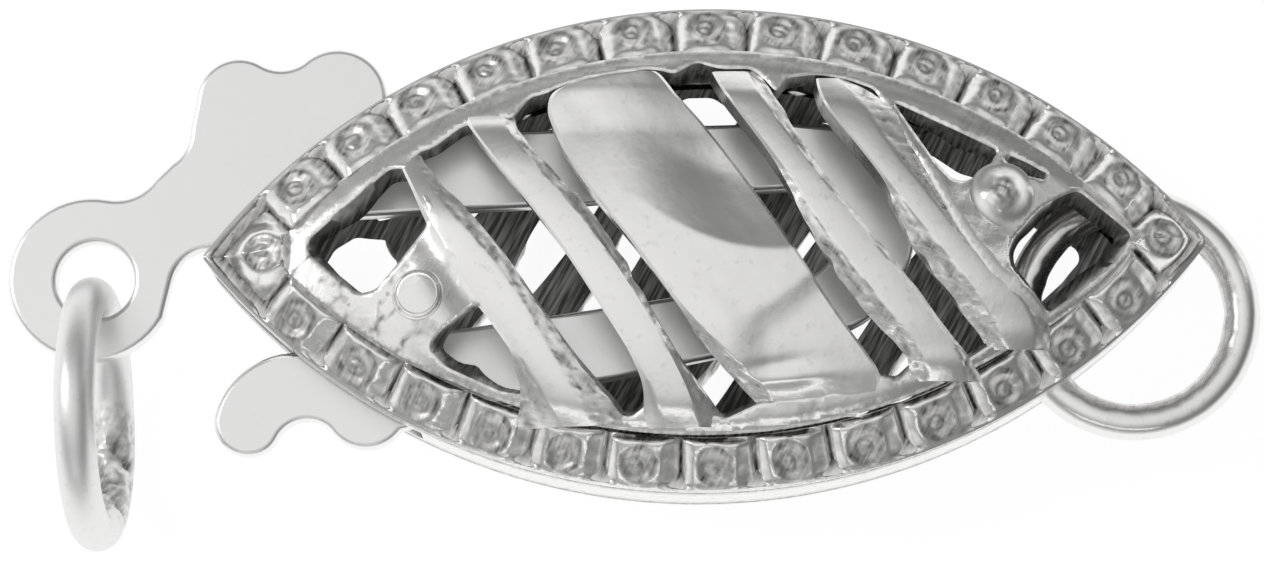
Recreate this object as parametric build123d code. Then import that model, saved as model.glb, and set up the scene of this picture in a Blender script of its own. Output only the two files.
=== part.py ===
"""Fish hook clasp: a domed, pierced case with a soldered end ring, a flat hook and a jump ring.

Lengths are millimetres.  The parts are first placed about the middle of the case, with
+X along the case towards the end ring, +Y across it and +Z out of its front face.  They are
then all moved together, so that the origin is the middle of the base of the whole clasp.
"""

import os
from math import cos, radians, sin, sqrt, tan

from build123d import *

# Outline of the case: two equal arcs that meet in a point at each end
CASE_LENGTH = 17.7
CASE_WIDTH = 8.62
RIM_HEIGHT = 0.95          # straight side wall, from the middle plane to the border
WALL = 0.35
SHELL_THICKNESS = 0.38

# Sloped border round each face
BORDER_WIDTH = 0.90
BORDER_SLOPE = 32.0        # degrees

# Domed panel inside the border
FRAME_CROWN = 2.20         # height of the pierced frame above the middle plane
BAR_CROWN = 2.40           # height of the raised bars above the middle plane
CROSS_RADIUS = 9.5         # curve of the dome across the case
LONG_RADIUS = 30.0         # curve of the dome along the case
TOOL_HEIGHT = 3.6          # taller than any face of the case
TOOL_REACH = 9.6           # half the length of a dome block, past the tips of the case
TOOL_SWEEP = 60.0          # degrees to each side, past the side walls of the case

# Square cells of the border
CELLS_PER_SIDE = 13
CELL_STEP = 7.0            # degrees about the centre of the arc
CELL_MIDDLE = 0.8          # degrees, the middle cell stands a little towards the end ring
GROOVE_DEPTH = 0.12
GROOVE_RIM = 0.09          # plain lip left outside the grooves
DISH_RADIUS = 0.33
DISH_DEPTH = 0.14
BEAD_RADIUS = 0.11
TIP_CELLS = (-7.80, 8.08)

# Openings of one face, as corners (x, y).  Each also cuts its copy, turned half a turn
# about the point (centre, 0)
OPENING_ROUND = 0.06
OPENINGS = {
    "end": {"centre": 0.20, "corners": [
        (-7.00, 0.05), (-6.97, 0.25), (-5.60, 1.35), (-5.35, 1.33),
        (-4.90, 0.55), (-4.90, 0.30), (-5.75, -0.70), (-6.15, -0.80)]},
    "web_triangle": {"centre": 0.13, "corners": [
        (-3.95, -1.10), (-3.02, -2.40), (-3.10, -2.65), (-3.90, -2.50),
        (-4.60, -2.10), (-4.80, -1.80), (-4.65, -1.55)]},
    "outer_slot": {"centre": 0.13, "corners": [
        (-4.85, 1.75), (-4.35, 2.10), (-4.10, 2.00), (-1.00, -2.60),
        (-1.35, -3.02), (-1.65, -2.95)]},
    "inner_slot": {"centre": 0.13, "corners": [
        (-3.35, 2.25), (-3.05, 2.65), (-2.85, 2.60), (0.95, -2.75),
        (0.25, -3.05), (-0.30, -2.50), (-3.20, 1.85)]},
}

# Raised bars: upper end, lower end and width.  The first two also have turned copies
BARS = {
    "outer_bar": {"top": (-5.02, 1.62), "bottom": (-2.30, -2.72), "width": 0.84, "copy": True},
    "inner_bar": {"top": (-3.72, 2.30), "bottom": (-0.40, -2.95), "width": 1.10, "copy": True},
    "middle_band": {"top": (-1.95, 3.10), "bottom": (2.21, -3.10), "width": 3.00, "copy": False},
}
COPY_CENTRE = 0.13         # bars and bosses are copied by half a turn about (this, 0)
BAR_INSET = 0.15           # the bars and the band die out just inside the border
BOSS_PLACE = (-4.98, -0.75)
BOSS_RADIUS = 0.50
BOSS_PROUD = 0.28

# Passage through the side wall for the hook, and the catch post inside the tip
PASSAGE_HEIGHT = 0.76
PASSAGE_TIP_Y = 0.20
PASSAGE_ENDS = {"upper": -5.15, "lower": -4.25}
POST_RADIUS = 0.27
POST_X = -7.78

# Soldered end ring, flat with the case
END_RING_PLACE = (7.60, -1.08, -0.35)
END_RING_RADIUS = 1.95
END_RING_WIRE = 0.325

# Hook: one flat plate, from the eye along the upper arm, round the bend and back along the
# lower arm.  Each row is a straight edge to an end, or an arc through a point to an end
PLATE_THICKNESS = 0.45
EYE_CENTRE = (-10.885, -0.23)
EYE_HOLE_CENTRE = (-10.81, -0.25)
EYE_HOLE_RADIUS = 0.69
HOOK_START = (-8.85, 0.28)
HOOK_EDGE = [
    {"piece": "upper arm, inner edge", "through": None, "end": (-6.40, 0.80)},
    {"piece": "upper arm, inner edge", "through": None, "end": (-3.00, 0.94)},
    {"piece": "upper arm, inner edge", "through": None, "end": (1.50, 1.18)},
    {"piece": "inside of the bend", "through": (2.38, 0.40), "end": (1.64, -0.42)},
    {"piece": "lower arm, inner edge", "through": None, "end": (-2.70, -1.02)},
    {"piece": "lower arm, inner edge", "through": None, "end": (-7.37, -1.61)},
    {"piece": "lower finger tab, back", "through": (-8.20, -1.93), "end": (-8.69, -2.70)},
    {"piece": "lower finger tab, end", "through": (-8.52, -3.26), "end": (-8.02, -3.42)},
    {"piece": "lower finger tab, end", "through": (-7.80, -3.35), "end": (-7.60, -3.13)},
    {"piece": "lower finger tab, dip", "through": (-7.10, -2.81), "end": (-6.65, -2.99)},
    {"piece": "lower finger tab, lobe", "through": (-6.05, -3.33), "end": (-5.42, -3.02)},
    {"piece": "lower arm, outer edge", "through": None, "end": (-1.89, -2.22)},
    {"piece": "lower arm, outer edge", "through": None, "end": (2.585, -1.33)},
    {"piece": "outside of the bend", "through": (3.74, 0.47), "end": (2.45, 2.28)},
    {"piece": "upper arm, outer edge", "through": None, "end": (1.60, 2.38)},
    {"piece": "upper arm, outer edge", "through": None, "end": (-5.20, 2.31)},
    {"piece": "upper finger tab, foot", "through": None, "end": (-5.63, 2.80)},
    {"piece": "upper finger tab, first lobe", "through": (-6.00, 3.70), "end": (-7.10, 3.62)},
    {"piece": "upper finger tab, dip", "through": (-7.48, 3.50), "end": (-7.85, 3.60)},
    {"piece": "upper finger tab, second lobe", "through": (-8.55, 3.66), "end": (-9.00, 3.05)},
    {"piece": "upper finger tab, back", "through": None, "end": (-9.12, 2.45)},
    {"piece": "neck, outer edge", "through": (-9.20, 2.10), "end": (-9.45, 1.83)},
    {"piece": "neck, outer edge", "through": None, "end": (-9.75, 1.54)},
    {"piece": "neck, outer edge", "through": (-10.15, 1.24), "end": (-10.60, 1.21)},
    {"piece": "eye", "through": (-12.355, -0.23), "end": (-9.62, -0.95)},
    {"piece": "neck, inner edge", "through": None, "end": (-9.46, -0.25)},
    {"piece": "neck, inner edge", "through": (-9.27, 0.08), "end": HOOK_START},
]

# Jump ring: it stands on its edge, through the eye of the hook
JUMP_RING_PLACE = (-10.81, -2.65, 0.02)
JUMP_RING_RADIUS = 2.09
JUMP_RING_WIRE = 0.335
JUMP_RING_LEAN = 3.0       # degrees
SOLDER_RADIUS = 0.40
SOLDER_ANGLE = -28.0       # degrees round the ring, from its lowest point away from the eye

# Worked out from the sizes above
HALF_LENGTH = CASE_LENGTH / 2
HALF_WIDTH = CASE_WIDTH / 2
ARC_RADIUS = (HALF_LENGTH**2 + HALF_WIDTH**2) / (2 * HALF_WIDTH)
ARC_OFFSET = ARC_RADIUS - HALF_WIDTH
SLOPE_RISE = tan(radians(BORDER_SLOPE))


def lens(reach, rim, top):
    """Solid between two arcs of radius reach, with a straight wall to rim and then a slope."""
    inset = (top - rim) / SLOPE_RISE
    edge = Polyline((0, 0), (reach, 0), (reach, rim), (reach - inset, top), (0, top), close=True)
    turned = revolve(Plane.XZ * make_face(edge), Axis.Z)
    return (Pos(0, -ARC_OFFSET, 0) * turned) & (Pos(0, ARC_OFFSET, 0) * turned)


def dome(crown):
    """Block whose top is curved across and along the case, crown high at the middle."""
    end = dome_height(crown, TOOL_REACH, 0)
    base = crown - CROSS_RADIUS
    left, right = (-TOOL_REACH, end), (TOOL_REACH, end)
    arc = ThreePointArc(left, (0, crown), right)
    sides = Polyline(right, (TOOL_REACH, base), (-TOOL_REACH, base), left)
    section = Plane.XZ * make_face([arc, sides])
    axis = Axis((0, 0, base), (1, 0, 0))
    return revolve(section.rotate(axis, -TOOL_SWEEP), axis, 2 * TOOL_SWEEP)


def dome_height(crown, x, y):
    """Height of a dome over a point of the middle plane."""
    radius = CROSS_RADIUS - LONG_RADIUS + sqrt(LONG_RADIUS**2 - x**2)
    return crown - CROSS_RADIUS + sqrt(radius**2 - y**2)


def half_turn(shape, centre):
    """Copy of a shape, turned half a turn about the upright line through (centre, 0)."""
    return Pos(centre, 0, 0) * Rot(0, 0, 180) * Pos(-centre, 0, 0) * shape


def border_place(angle, side, outward=0.0):
    """Place on the sloped border, angle round its arc and outward of its middle line.

    Local x runs along the border, local y outwards and local z out of the metal.
    """
    a = radians(angle)
    radius = ARC_RADIUS - BORDER_WIDTH / 2 + outward
    height = RIM_HEIGHT + (BORDER_WIDTH / 2 - outward) * SLOPE_RISE
    origin = (radius * sin(a), side * (radius * cos(a) - ARC_OFFSET), height)
    tilt = radians(BORDER_SLOPE)
    normal = (sin(a) * sin(tilt), side * cos(a) * sin(tilt), cos(tilt))
    along = (side * cos(a), -sin(a), 0)
    return Plane(origin=origin, x_dir=along, z_dir=normal).location


def tip_place(x):
    """Place of a cell in a tip of the border, on the curve of the dome."""
    lean = x / LONG_RADIUS
    origin = (x, 0, dome_height(FRAME_CROWN, x, 0))
    return Plane(origin=origin, x_dir=(0, -1, 0), z_dir=(lean, 0, 1)).location


def cell_places():
    half = CELLS_PER_SIDE // 2
    places = [tip_place(x) for x in TIP_CELLS]
    for side in (-1, 1):
        for k in range(-half, half + 1):
            places.append(border_place(CELL_MIDDLE + k * CELL_STEP, side))
    return places


def grooves():
    """V grooves between the cells, which stop short of the outer lip."""
    length = BORDER_WIDTH / cos(radians(BORDER_SLOPE)) - GROOVE_RIM
    width = GROOVE_DEPTH * sqrt(2)
    cutter = Rot(0, 45, 0) * Box(width, length, width)
    half = CELLS_PER_SIDE / 2
    cutters = []
    for side in (-1, 1):
        for k in range(CELLS_PER_SIDE + 1):
            angle = CELL_MIDDLE + (k - half) * CELL_STEP
            cutters.append(border_place(angle, side, -GROOVE_RIM / 2) * cutter)
    return cutters


def opening(corners):
    face = make_face(Polyline(*corners, close=True))
    face = fillet(face.vertices(), OPENING_ROUND)
    return extrude(Pos(0, 0, WALL) * face, TOOL_HEIGHT)


def openings():
    cutters = []
    for row in OPENINGS.values():
        cutter = opening(row["corners"])
        cutters += [cutter, half_turn(cutter, row["centre"])]
    return cutters


def bar_strip(row):
    (x0, y0), (x1, y1) = row["top"], row["bottom"]
    line = Vector(x1 - x0, y1 - y0)
    plane = Plane(origin=((x0 + x1) / 2, (y0 + y1) / 2, 0), x_dir=line, z_dir=(0, 0, 1))
    return extrude(plane * Rectangle(line.length, row["width"]), TOOL_HEIGHT)


def raised_bars():
    """The bars and the middle band, from inside the frame up to their own higher dome."""
    layer = dome(BAR_CROWN) - dome(FRAME_CROWN - SHELL_THICKNESS / 2)
    layer = layer & lens(ARC_RADIUS - BAR_INSET, RIM_HEIGHT, TOOL_HEIGHT)
    bars = []
    for row in BARS.values():
        bar = bar_strip(row) & layer
        bars.append(bar)
        if row["copy"]:
            bars.append(half_turn(bar, COPY_CENTRE))
    return bars


def bosses():
    x, y = BOSS_PLACE
    height = dome_height(FRAME_CROWN, x, y) + BOSS_PROUD - BOSS_RADIUS
    ball = Pos(x, y, height) * Sphere(BOSS_RADIUS)
    return [ball, half_turn(ball, COPY_CENTRE)]


def face_shell():
    """One face of the case with half of the side wall: front or, turned over, back."""
    inner_drop = SHELL_THICKNESS / cos(radians(BORDER_SLOPE)) - WALL * SLOPE_RISE
    outer = lens(ARC_RADIUS, RIM_HEIGHT, TOOL_HEIGHT) & dome(FRAME_CROWN)
    inner = lens(ARC_RADIUS - WALL, RIM_HEIGHT - inner_drop, TOOL_HEIGHT)
    inner = inner & dome(FRAME_CROWN - SHELL_THICKNESS)
    shell = outer + raised_bars() + bosses()
    shell = shell - inner - openings() - grooves()
    dish = Pos(0, 0, DISH_RADIUS - DISH_DEPTH) * Sphere(DISH_RADIUS)
    bead = Pos(0, 0, BEAD_RADIUS / 3 - DISH_DEPTH) * Sphere(BEAD_RADIUS)
    shell = shell - [place * dish for place in cell_places()]
    return shell + [place * bead for place in cell_places()]


def passages():
    """Cuts through the side wall on both sides of the left tip."""
    cutters = []
    for side, end in ((1, PASSAGE_ENDS["upper"]), (-1, PASSAGE_ENDS["lower"])):
        length = HALF_LENGTH + end + 1
        depth = CASE_WIDTH / 2
        middle = (end - length / 2, side * (PASSAGE_TIP_Y + depth / 2), 0)
        cutters.append(Pos(*middle) * Box(length, depth, PASSAGE_HEIGHT))
    return cutters


def make_case():
    front = face_shell()
    case = front + Rot(0, 180, 0) * front
    case = case - passages()
    post_height = 2 * dome_height(FRAME_CROWN, POST_X, 0) - SHELL_THICKNESS
    post = Pos(POST_X, 0, 0) * Cylinder(POST_RADIUS, post_height)
    end_ring = Pos(*END_RING_PLACE) * Torus(END_RING_RADIUS, END_RING_WIRE)
    return case + post + end_ring


def make_hook():
    edges = []
    start = HOOK_START
    for row in HOOK_EDGE:
        if row["through"] is None:
            edges.append(Line(start, row["end"]))
        else:
            edges.append(ThreePointArc(start, row["through"], row["end"]))
        start = row["end"]
    face = make_face(edges)
    plate = extrude(Pos(0, 0, -PLATE_THICKNESS / 2) * face, PLATE_THICKNESS)
    hole = Pos(*EYE_HOLE_CENTRE, 0) * Cylinder(EYE_HOLE_RADIUS, 2 * PLATE_THICKNESS)
    return plate - hole


def make_jump_ring():
    ring = Torus(JUMP_RING_RADIUS, JUMP_RING_WIRE)
    a = radians(SOLDER_ANGLE)
    solder = Pos(JUMP_RING_RADIUS * cos(a), JUMP_RING_RADIUS * sin(a), 0) * Sphere(SOLDER_RADIUS)
    upright = Rot(0, 90, 0) * (ring + solder)
    return Pos(*JUMP_RING_PLACE) * Rot(0, -JUMP_RING_LEAN, 0) * upright


def main():
    parts = {
        "case": make_case(),
        "hook_tongue": make_hook(),
        "jump_ring": make_jump_ring(),
    }
    box = Compound(children=[part.solid() for part in parts.values()]).bounding_box()
    middle = box.center()
    shift = Pos(-middle.X, -middle.Y, -box.min.Z)
    print("moved by", -middle.X, -middle.Y, -box.min.Z, "box", box.size)
    os.makedirs("parts", exist_ok=True)
    for name, part in parts.items():
        export_step(shift * part.solid(), f"parts/{name}.step")


if __name__ == "__main__":
    main()
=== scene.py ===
"""Looks of a fish hook clasp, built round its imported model.

The case is modelled again as its stamped shells: a border of square cells, a pierced frame with
bars and a wide band, a side wall, a catch post and an end ring.  The flat hook and the jump ring
follow.  Shapes are worked out in millimetres about the middle of the case and then put in place.
"""

import math

import bmesh
import bpy
from bpy.props import FloatProperty, FloatVectorProperty, IntProperty, PointerProperty
from mathutils import Matrix, Vector, noise
from mathutils.kdtree import KDTree


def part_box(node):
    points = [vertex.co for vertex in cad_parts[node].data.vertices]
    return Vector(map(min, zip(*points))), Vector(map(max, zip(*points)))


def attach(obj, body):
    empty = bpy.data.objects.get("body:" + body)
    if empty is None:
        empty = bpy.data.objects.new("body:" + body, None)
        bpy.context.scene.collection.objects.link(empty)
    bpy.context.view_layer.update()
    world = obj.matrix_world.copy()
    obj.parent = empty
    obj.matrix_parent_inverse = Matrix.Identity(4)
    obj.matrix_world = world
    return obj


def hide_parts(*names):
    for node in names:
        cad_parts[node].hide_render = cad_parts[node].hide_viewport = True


bl_info = {
    "name": "Fish Hook Clasp",
    "version": (1, 0, 0),
    "blender": (4, 5, 0),
    "location": "View3D > Sidebar > Clasp",
    "description": "Builds the visible pieces of a fish hook clasp round its packed model",
    "category": "Object",
}

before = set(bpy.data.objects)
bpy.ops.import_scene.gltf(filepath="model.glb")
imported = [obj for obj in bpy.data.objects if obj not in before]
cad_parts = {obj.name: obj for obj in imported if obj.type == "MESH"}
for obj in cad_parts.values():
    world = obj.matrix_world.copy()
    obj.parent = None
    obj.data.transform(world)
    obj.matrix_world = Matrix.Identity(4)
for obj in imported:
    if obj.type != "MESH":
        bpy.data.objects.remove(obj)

MM = 0.001
CASE_LOW, CASE_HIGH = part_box("case")

# Bodies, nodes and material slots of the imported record
CASE_BODY, CASE_NODE, CASE_SLOT = "case", "case", "case_metal"
HOOK_BODY, HOOK_NODE, HOOK_SLOT = "hook", "hook_tongue", "hook_metal"
RING_NODE, RING_SLOT = "jump_ring", "ring_metal"


class ClaspCaseSizes(bpy.types.PropertyGroup):
    length: FloatProperty(
        name="Length", description="Tip to tip, without the end ring", default=0.0177, unit="LENGTH")
    width: FloatProperty(
        name="Width", description="Across the middle", default=CASE_HIGH.y - CASE_LOW.y, unit="LENGTH")
    rim: FloatProperty(
        name="Rim", description="Middle plane to the foot of the border", default=0.00095, unit="LENGTH")
    wall: FloatProperty(
        name="Wall", description="Thickness of the side wall", default=0.00035, unit="LENGTH")
    sheet: FloatProperty(
        name="Sheet", description="Thickness of the pierced face", default=0.00038, unit="LENGTH")
    border: FloatProperty(
        name="Border", description="Width of the sloped border in plan", default=0.0009, unit="LENGTH")
    slope: FloatProperty(
        name="Slope", description="Slope of the border", default=math.radians(30), subtype="ANGLE")
    crown: FloatProperty(
        name="Crown", description="Height of the frame above the middle plane", default=0.0022,
        unit="LENGTH")
    bar_lift: FloatProperty(
        name="Bar lift", description="Height of the bars above the frame", default=0.00019, unit="LENGTH")
    cross_curve: FloatProperty(
        name="Cross curve", description="Radius of the dome across the case", default=0.0095,
        unit="LENGTH")
    long_curve: FloatProperty(
        name="Long curve", description="Radius of the dome along the case", default=0.03, unit="LENGTH")
    cells: IntProperty(name="Cells", description="Square cells on each side of the border", default=13)
    cell_step: FloatProperty(
        name="Cell step", description="Angle from cell to cell", default=math.radians(7),
        subtype="ANGLE")


class ClaspRingSizes(bpy.types.PropertyGroup):
    end_radius: FloatProperty(
        name="End ring", description="Radius to the middle of the wire", default=0.00195, unit="LENGTH")
    end_wire: FloatProperty(
        name="End ring wire", description="Radius of the wire", default=0.000325, unit="LENGTH")
    jump_radius: FloatProperty(
        name="Jump ring", description="Radius to the middle of the wire", default=0.00207,
        unit="LENGTH")
    jump_wire: FloatProperty(
        name="Jump ring wire", description="Radius of the wire", default=0.000355, unit="LENGTH")
    jump_lean: FloatProperty(
        name="Jump ring lean", description="Lean of the standing ring", default=math.radians(3),
        subtype="ANGLE")


class ClaspHookSizes(bpy.types.PropertyGroup):
    thickness: FloatProperty(
        name="Thickness", description="Thickness of the hook's sheet", default=0.00045, unit="LENGTH")
    soft_edge: FloatProperty(
        name="Soft edge", description="Width of the rounding of its edges", default=0.00009,
        unit="LENGTH")


class ClaspFinish(bpy.types.PropertyGroup):
    polished: FloatVectorProperty(
        name="Polished", description="Colour of polished silver", subtype="COLOR", size=3,
        default=(0.90, 0.895, 0.885), min=0, max=1)
    satin: FloatVectorProperty(
        name="Satin", description="Colour of the hook's satin sheet", subtype="COLOR", size=3,
        default=(0.93, 0.93, 0.925), min=0, max=1)
    wire: FloatVectorProperty(
        name="Wire", description="Colour of the jump ring's wire", subtype="COLOR", size=3,
        default=(0.87, 0.87, 0.865), min=0, max=1)
    # The recess colour is painted shade in the recesses, creases and inside of the case, and the colour
    # of the stains and cast grain
    recess: FloatVectorProperty(
        name="Recess", description="Colour of silver left dark in the recesses", subtype="COLOR",
        size=3, default=(0.105, 0.103, 0.10), min=0, max=1)
    floor: FloatVectorProperty(
        name="Floor", description="Colour of the surface below", subtype="COLOR", size=3,
        default=(0.20, 0.20, 0.20), min=0, max=1)


class ClaspStudio(bpy.types.PropertyGroup):
    tilt: FloatProperty(
        name="Tilt", description="Camera's angle from straight above", default=math.radians(9.5),
        subtype="ANGLE")
    roll: FloatProperty(
        name="Roll", description="Turn of the picture", default=math.radians(0.97), subtype="ANGLE")
    distance: FloatProperty(
        name="Distance", description="Camera to the middle of the picture", default=0.08,
        unit="LENGTH")
    lens: FloatProperty(
        name="Lens", description="Focal length in millimetres", default=129.87, unit="CAMERA")


# How far single cells differ: their size, their place across and along the slope, their skew
CELL_GROWS = 0.06
CELL_MOVES = (0.04, 0.02)
CELL_SKEW = 0.12

# Painted shade of the border's recesses, from 0 to 1; the dishes and the valleys differ above and below
SHADES = {"bead": 0.58, "groove": 0.95, "channel": 0.80, "lip": 0.50}
DISH_SHADES = (0.40, 0.46)
VALLEY_SHADE = 0.22

# Border relief, in millimetres
CELL_INSET = 0.40
DISH_SHIFT = -0.06
RIM_IN = 0.31
RIM_OUT = 0.37
RIM_RISE = 0.014
FLANK_DROP = 0.17
GROOVE_HALF = 0.07
GROOVE_DEPTH = 0.05
DISH_DEPTH = 0.09
EDGE_LIP = 0.07
BEAD_RADIUS = 0.12
BEAD_HEIGHT = 0.05
BEAD_SHIFT = 0.03
TIP_LIP = 0.17
TIP_FLANK = 0.22
CHANNEL_SIDE = (0.03, 0.09)
CHANNEL_DEPTH = 0.10
TIP_CELLS = (-7.75, 8.02)
INNER_TIPS = (-7.38, 7.66)
CELL_MIDDLE = math.radians(0.8)
CELL_COLUMNS = 26
BORDER_ROWS = 24
EDGE_SHARE = 0.03
TIP_ARC_COLUMNS = 12
TIP_TURN_COLUMNS = 5
TIP_ROUND = {-1: 0.10, 1: 0.26}
TIP_REACH = 0.985
CELL_WANDER = 0.035

# Underside of the border: the share of its width from the outside, and the drop below its slope
BORDER_UNDER = [(1.03, -0.30), (1.03, -0.52), (0.60, -0.62), (0.30, -0.75), (0.04, -0.10)]

# Unevenness of the cast metal: height, size and seed of each layer of noise
BORDER_CAST = ((0.014, 0.22, 5), (0.007, 0.09, 6))
CELL_CAST = ((0.03, 0.30, 90), (0.015, 0.12, 91))
FRAME_CAST = ((0.012, 0.8, 21), (0.003, 0.2, 33), (0.009, 0.36, 90))
SOLDER_CAST = ((0.30, 0.28, 60), (0.16, 0.12, 70))

# Windows of the pierced frame in plan, in millimetres, with the rounding of their corners, how far
# their flanks run inwards and the side those face.  A back run stands on the back face for the
# corners from the first number up to the second.  The bars and the band cross the middle window
WINDOWS = [
    {"name": "left end", "round": 0.10, "flank": 0.20, "facing": (0.64, -0.77), "corners": [
        (-6.94, 0.20), (-5.50, 1.40), (-5.20, 1.38), (-4.84, 0.60), (-4.84, 0.30), (-5.76, -0.74),
        (-6.10, -0.80), (-6.95, -0.04)]},
    {"name": "lower left", "round": 0.12, "flank": 0.18, "facing": (0.86, 0.51), "corners": [
        (-3.99, -1.06), (-3.02, -2.36), (-3.10, -2.66), (-3.60, -2.57), (-4.56, -2.11),
        (-4.84, -1.78), (-4.62, -1.48)]},
    {"name": "middle", "round": 0.09, "corners": [
        (-5.12, 1.48), (-5.02, 1.66), (-4.72, 1.76), (-4.21, 2.13), (-3.80, 2.16), (-3.32, 2.25),
        (-3.02, 2.62), (-2.75, 2.68), (-2.50, 2.80), (-2.00, 2.95), (-1.00, 3.09), (-0.72, 3.05),
        (-0.50, 2.98), (-0.10, 3.21), (0.12, 3.12), (0.35, 3.06), (0.85, 3.06), (1.05, 2.90),
        (1.28, 2.60), (1.46, 2.87), (1.84, 2.93), (2.10, 2.93), (2.55, 2.84), (3.00, 2.66),
        (3.20, 2.30), (3.75, 1.30), (4.35, 0.10), (5.20, -1.20), (5.45, -1.60), (5.01, -1.82),
        (4.46, -2.16), (4.00, -2.20), (3.66, -2.16), (3.30, -2.49), (2.95, -2.40), (1.90, -2.75),
        (0.92, -2.84), (0.26, -3.12), (-0.20, -2.90), (-0.70, -2.95), (-0.98, -2.78),
        (-1.35, -3.06), (-1.60, -3.00), (-2.50, -2.80), (-2.75, -2.50), (-3.55, -1.40),
        (-4.20, -0.30), (-4.65, 0.60)],
     "back run": (6, 16, [
        (-3.02, 2.56), (-2.50, 2.76), (-2.00, 2.82), (-1.40, 2.84), (-1.00, 3.00), (-0.60, 3.04),
        (-0.22, 3.29), (0.28, 3.29), (0.52, 3.10)])},
    {"name": "upper right", "round": 0.09, "flank": 0.12, "facing": (-0.45, -0.89), "corners": [
        (3.33, 2.42), (5.14, 1.54), (4.92, 1.16), (4.52, 0.95), (4.30, 0.98), (4.00, 1.30)]},
    {"name": "slit by the right boss", "round": 0.03, "corners": [
        (5.24, 1.38), (5.34, 1.45), (5.62, 1.33), (5.99, 1.13), (5.93, 1.02), (5.62, 1.09),
        (5.42, 1.20)]},
    {"name": "right end", "round": 0.10, "flank": 0.16, "facing": None, "corners": [
        (5.27, -0.30), (5.38, -0.02), (5.85, 0.50), (6.24, 0.73), (6.53, 0.84), (7.47, 0.08),
        (7.15, -0.40), (6.47, -0.95), (5.93, -1.36), (5.31, -0.57)],
     "back run": (2, 7, [
        (5.52, 0.50), (5.72, 0.82), (6.40, 0.86), (6.85, 0.56), (7.10, 0.10), (7.05, -0.40)])},
]

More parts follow.
